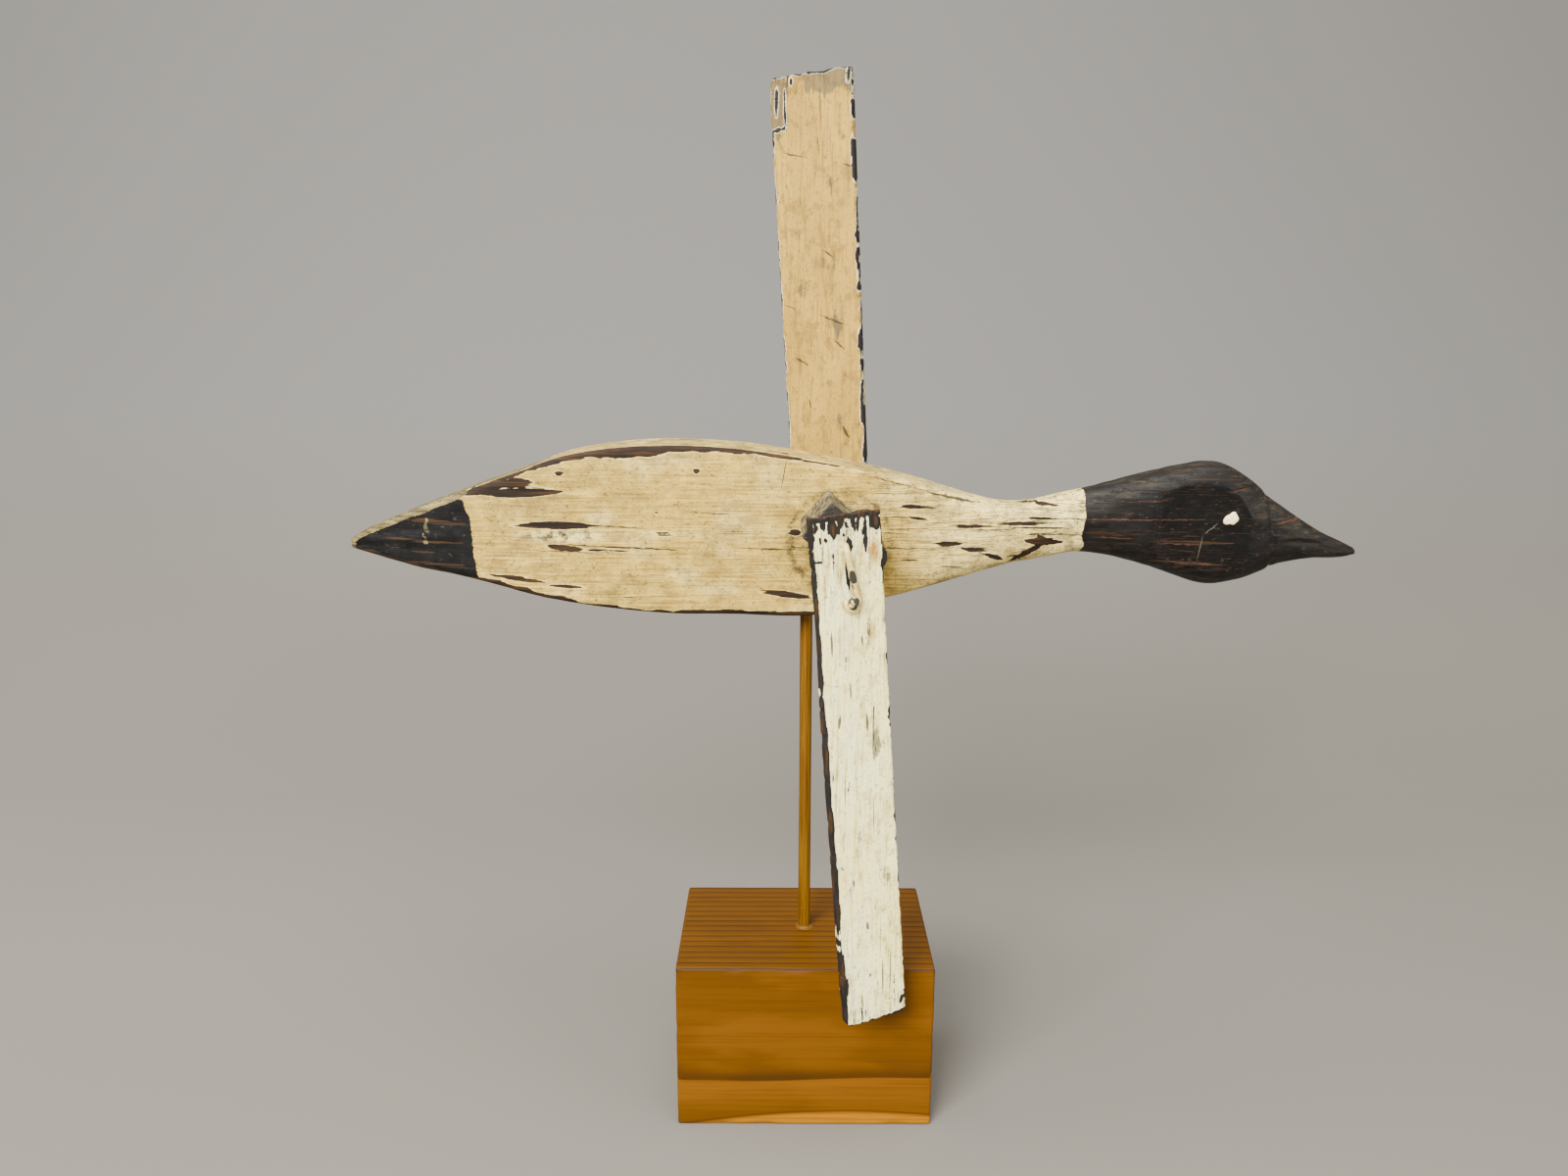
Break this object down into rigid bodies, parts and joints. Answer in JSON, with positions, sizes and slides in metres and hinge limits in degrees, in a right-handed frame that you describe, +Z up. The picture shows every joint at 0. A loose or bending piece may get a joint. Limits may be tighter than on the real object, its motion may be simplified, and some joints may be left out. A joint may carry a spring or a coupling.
{
  "type": "duck whirligig",
  "caption": "Carved flying-duck whirligig with two spinning board wings, swivelling on a thin dowel in a wooden block.",
  "frame": {"origin": "centre of the underside of the stand's block", "axes": "+X towards the bill, +Y towards the bird's left side, +Z up; the dowel and the swivel lie on the Z axis"},
  "size_m": [0.5, 0.1507, 0.5325],
  "materials": {
    "stand_wood": "honey-stained softwood, satin",
    "dowel_wood": "honey-stained dowel, satin",
    "bird_paint": "cream and black paint, cracked and worn",
    "eye_paint": "cream paint, chipped",
    "old_brass": "dull",
    "rusty_steel": "rusty",
    "painted_rod": "cream paint, chipped to dark steel",
    "hub_wood": "weathered, traces of cream paint",
    "wing_paint": "white and cream paint, flaked"
  },
  "bodies": {
    "stand": {"base_block": "stand_wood", "support_dowel": "dowel_wood"},
    "bird": {"bird_body": "bird_paint", "right_eye_tack": "eye_paint", "left_eye_tack": "eye_paint", "swivel_sleeve": "old_brass", "swivel_cap": "rusty_steel", "axle_tube": "old_brass"},
    "rotor": {"axle_rod": "painted_rod", "right_washer": "rusty_steel", "left_washer": "rusty_steel", "right_hub_block": "hub_wood", "left_hub_block": "hub_wood", "right_wing": "wing_paint", "left_wing": "wing_paint", "right_wing_brads": "rusty_steel", "left_wing_brads": "rusty_steel", "right_wing_screw": "painted_rod", "left_wing_screw": "painted_rod"}
  },
  "joints": [
    {"name": "bird_swivel", "type": "hinge", "parent": "stand", "child": "bird", "pos_m": [0, 0, 0.28], "axis": [0, 0, 1], "range_deg": [-5, 5]},
    {"name": "wing_spin", "type": "hinge", "parent": "bird", "child": "rotor", "pos_m": [0.0157, 0, 0.3097], "axis": [0, 1, 0], "continuous": true}
  ]
}
